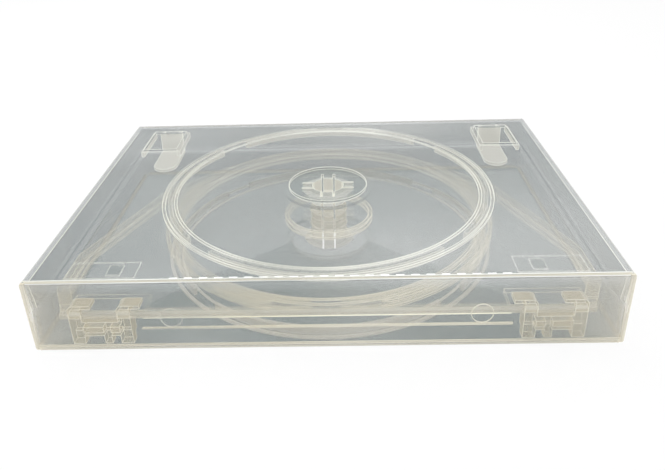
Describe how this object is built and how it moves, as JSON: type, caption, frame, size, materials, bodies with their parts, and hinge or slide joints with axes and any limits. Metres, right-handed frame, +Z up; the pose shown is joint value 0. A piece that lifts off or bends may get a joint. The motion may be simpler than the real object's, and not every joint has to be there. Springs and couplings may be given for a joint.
{
  "type": "multi-disc dvd case",
  "caption": "Clear hinged case for discs, with a spine, a disc well in each cover, a flip tray between them and booklet clips at the open edge.",
  "frame": {"origin": "middle of the footprint, on the surface that the closed case lies on", "axes": "+X along the spine, +Y from the spine to the open edge, +Z up through the front cover"},
  "size_m": [0.19, 0.136, 0.027],
  "materials": {
    "clear_case": "clear polypropylene, glossy, slightly hazy",
    "clear_spine": "clear polypropylene, glossy, cream where it is thick",
    "clear_tray": "clear polypropylene, glossy, slightly hazy",
    "sleeve_film": "thin clear film, glossy"
  },
  "bodies": {
    "back": {"back_cover": "clear_case", "sleeve_back": "sleeve_film"},
    "spine": {"spine": "clear_spine", "sleeve_spine": "sleeve_film"},
    "front": {"front_cover": "clear_case", "sleeve_front": "sleeve_film"},
    "tray": {"flip_tray": "clear_tray"}
  },
  "joints": [
    {"name": "spine_fold", "type": "hinge", "parent": "back", "child": "spine", "pos_m": [0, -0.06735, 0.00065], "axis": [1, 0, 0], "range_deg": [0, 90]},
    {"name": "cover_fold", "type": "hinge", "parent": "spine", "child": "front", "pos_m": [0, -0.06735, 0.02635], "axis": [1, 0, 0], "range_deg": [0, 90]},
    {"name": "tray_flip", "type": "hinge", "parent": "spine", "child": "tray", "pos_m": [0, -0.0648, 0.0121], "axis": [1, 0, 0], "range_deg": [0, 72]}
  ],
  "couplings": [
    {"joint": "tray_flip", "follows": "cover_fold", "ratio": 0.8}
  ]
}
